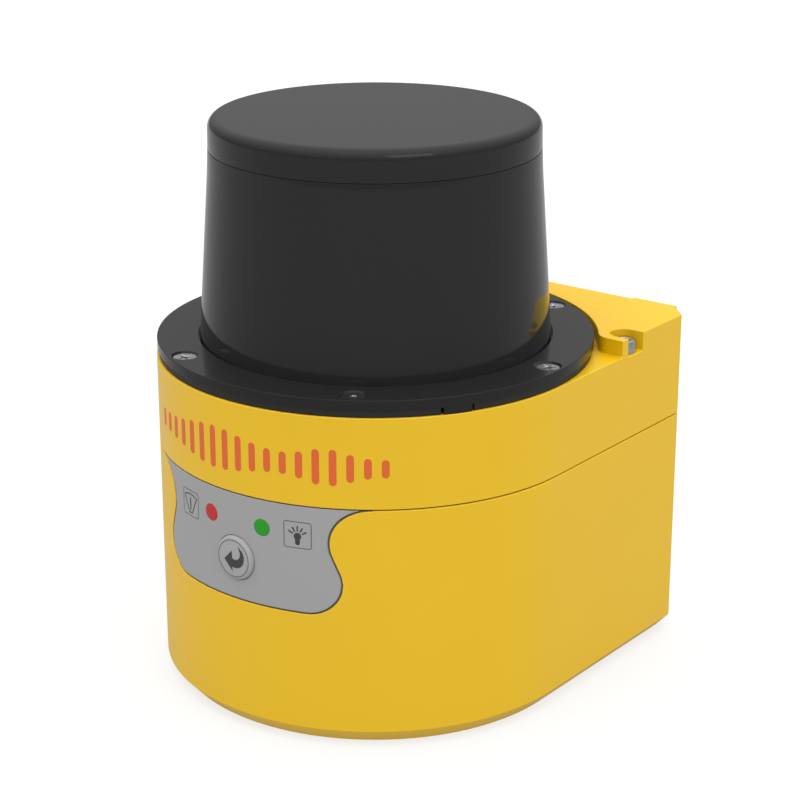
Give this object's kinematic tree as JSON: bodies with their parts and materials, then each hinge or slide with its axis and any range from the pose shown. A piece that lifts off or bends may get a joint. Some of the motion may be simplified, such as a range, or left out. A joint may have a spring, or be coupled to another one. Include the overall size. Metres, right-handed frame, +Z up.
{
  "type": "laser scanner module",
  "caption": "Compact safety laser scanner: round-fronted yellow housing, black conical window over a spinning mirror, status lights and a reset button.",
  "frame": {"origin": "on the mirror's axis at the housing's underside", "axes": "+Z up along the mirror's axis, -Y out of the round front with the panel, +Y out of the flat mounting side, +X to the right seen from the front"},
  "size_m": [0.102, 0.1106, 0.1332],
  "materials": {
    "yellow_coat": "satin yellow powder coat on die-cast aluminium",
    "ring_black": "semi-gloss black",
    "window_black": "glossy infrared-pass black",
    "black_rubber": "matt",
    "panel_grey": "fine satin membrane",
    "button_grey": "satin",
    "red_lens": "clear gloss",
    "green_lens": "clear gloss",
    "steel": "bright zinc plated",
    "nickel": "nickel plated",
    "circuit_board": "solder mask",
    "black_plastic": "moulded",
    "white_plastic": "moulded",
    "bare_aluminium": "machined",
    "copper": "enamelled winding wire",
    "magnet": "sintered magnet",
    "mirror_coat": "front-silvered",
    "clear_glass": "polished",
    "flex_amber": "polyimide film"
  },
  "bodies": {
    "housing": {"lower_housing": "yellow_coat", "upper_housing": "yellow_coat", "housing_seal": "black_rubber", "threaded_inserts": "steel", "housing_screws": "steel", "window_ring": "ring_black", "window_gasket": "black_rubber", "ring_screws": "steel", "optics_window": "window_black", "window_cap": "window_black", "front_panel": "panel_grey", "panel_gasket": "black_rubber", "red_light_guide": "red_lens", "green_light_guide": "green_lens", "reset_switch": "black_plastic", "display_board": "circuit_board", "display_screws": "steel", "status_leds": "white_plastic", "display_cable": "white_plastic", "main_board": "circuit_board", "power_board": "circuit_board", "board_spacers": "nickel", "board_screws": "steel", "board_link": "black_plastic", "power_connector": "nickel", "data_connector": "nickel", "connector_nuts": "nickel", "vent_plug": "black_plastic", "optics_chassis": "bare_aluminium", "chassis_screws": "steel", "motor_stator": "copper", "lower_bearing": "steel", "upper_bearing": "steel", "encoder_sensor": "black_plastic", "optics_head": "bare_aluminium", "head_screws": "steel", "receiver_lens": "clear_glass", "lens_barrel": "black_plastic", "laser_module": "nickel", "receiver_board": "circuit_board", "window_monitor": "circuit_board", "flex_cable": "flex_amber"},
    "rotor": {"rotor_shaft": "steel", "motor_bell": "nickel", "rotor_magnets": "magnet", "encoder_disc": "clear_glass", "mirror_carrier": "black_plastic", "scan_mirror": "mirror_coat", "balance_weight": "copper"},
    "button": {"reset_button": "button_grey", "switch_plunger": "black_plastic"}
  },
  "joints": [
    {"name": "mirror_spin", "type": "hinge", "parent": "housing", "child": "rotor", "pos_m": [0, 0, 0.1021], "axis": [0, 0, 1], "continuous": true},
    {"name": "reset_press", "type": "slide", "parent": "housing", "child": "button", "axis": [0, 1, 0], "range_m": [0, 0.0006], "stiffness_N_per_m": 2000}
  ]
}
